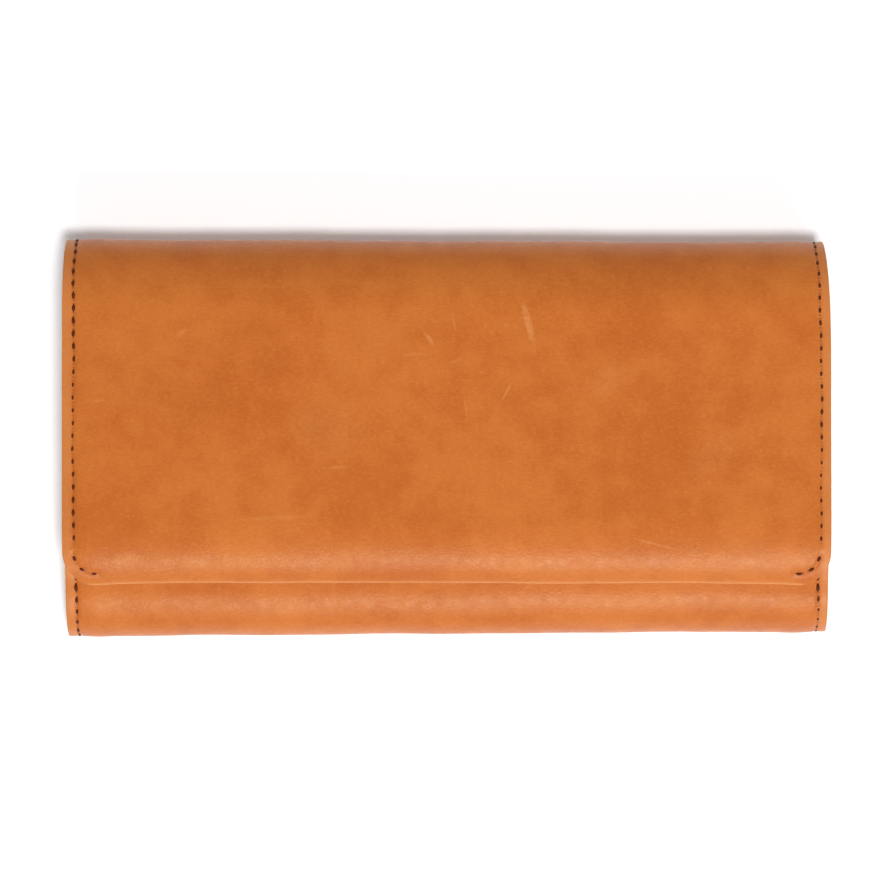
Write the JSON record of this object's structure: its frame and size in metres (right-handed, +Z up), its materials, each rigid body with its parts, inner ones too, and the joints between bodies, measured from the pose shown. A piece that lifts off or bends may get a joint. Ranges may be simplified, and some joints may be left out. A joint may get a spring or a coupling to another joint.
{
  "type": "long wallet",
  "caption": "Long leather flap wallet, closed and lying on its back, with note compartments, a zipped coin pocket, card pockets and a hidden magnetic snap.",
  "frame": {"origin": "centre of the closed wallet's outline, on its back face", "axes": "+X along the wallet's width, +Y from the bottom fold to the spine, +Z up from the back face to the flap"},
  "size_m": [0.19, 0.0985, 0.025],
  "materials": {
    "outer_leather": "oiled, satin, with scuffs",
    "lining_leather": "matte, flesh side out",
    "thread": "waxed thread",
    "zip_cloth": "woven tape",
    "zip_brass": "satin",
    "zip_metal": "antique brass, satin",
    "snap_metal": "antique brass, satin",
    "magnet": "matte ferrite"
  },
  "bodies": {
    "back": {"back_panel": "outer_leather", "bottom_fold": "outer_leather", "back_lining": "lining_leather", "rear_gusset_back_left": "lining_leather", "rear_gusset_back_right": "lining_leather", "back_stitching": "thread"},
    "spine": {"spine_panel": "outer_leather", "spine_lining": "lining_leather", "spine_stitching": "thread"},
    "flap": {"flap_panel": "outer_leather", "flap_lining": "lining_leather", "card_pocket_1": "lining_leather", "card_pocket_2": "lining_leather", "card_pocket_3": "lining_leather", "card_stitching": "thread", "flap_stitching": "thread", "snap_stud": "snap_metal", "snap_stud_washer": "snap_metal"},
    "pocket": {"pocket_rear_wall": "lining_leather", "pocket_front_wall": "lining_leather", "rear_gusset_pocket_left": "lining_leather", "rear_gusset_pocket_right": "lining_leather", "front_gusset_pocket_left": "lining_leather", "front_gusset_pocket_right": "lining_leather", "zip_tape_rear": "zip_cloth", "zip_tape_front": "zip_cloth", "zip_teeth_rear": "zip_brass", "zip_teeth_front": "zip_brass", "zip_end_stops": "zip_brass", "zip_stitching": "thread"},
    "slider": {"zip_slider": "zip_metal"},
    "pull": {"zip_pull_link": "zip_metal", "zip_pull_tab": "outer_leather"},
    "front": {"front_panel": "outer_leather", "front_lining": "lining_leather", "front_gusset_front_left": "lining_leather", "front_gusset_front_right": "lining_leather", "front_stitching": "thread", "snap_socket": "snap_metal", "snap_magnet": "magnet", "snap_socket_washer": "snap_metal"}
  },
  "joints": [
    {"name": "flap_lift", "type": "hinge", "parent": "back", "child": "spine", "pos_m": [0, 0.04562, 0.0038], "axis": [-1, 0, 0], "range_deg": [0, 90]},
    {"name": "flap_turn", "type": "hinge", "parent": "spine", "child": "flap", "pos_m": [0, 0.04386, 0.02053], "axis": [-1, 0, 0], "range_deg": [0, 90]},
    {"name": "front_open", "type": "hinge", "parent": "back", "child": "front", "pos_m": [0, -0.04925, 0.005], "axis": [1, 0, 0], "range_deg": [0, 16]},
    {"name": "pocket_open", "type": "hinge", "parent": "back", "child": "pocket", "pos_m": [0, -0.04925, 0.005], "axis": [1, 0, 0], "range_deg": [0, 8]},
    {"name": "zip_slide", "type": "slide", "parent": "pocket", "child": "slider", "axis": [1, 0, 0], "range_m": [0, 0.131]},
    {"name": "pull_swing", "type": "hinge", "parent": "slider", "child": "pull", "pos_m": [-0.0655, 0.0359, 0.01], "axis": [0, 0, 1], "range_deg": [0, 90]}
  ],
  "couplings": [
    {"joint": "flap_turn", "follows": "flap_lift", "ratio": 1},
    {"joint": "front_open", "follows": "flap_lift", "ratio": 0.17778},
    {"joint": "pocket_open", "follows": "flap_lift", "ratio": 0.088888},
    {"joint": "pull_swing", "follows": "flap_lift", "ratio": 1}
  ]
}
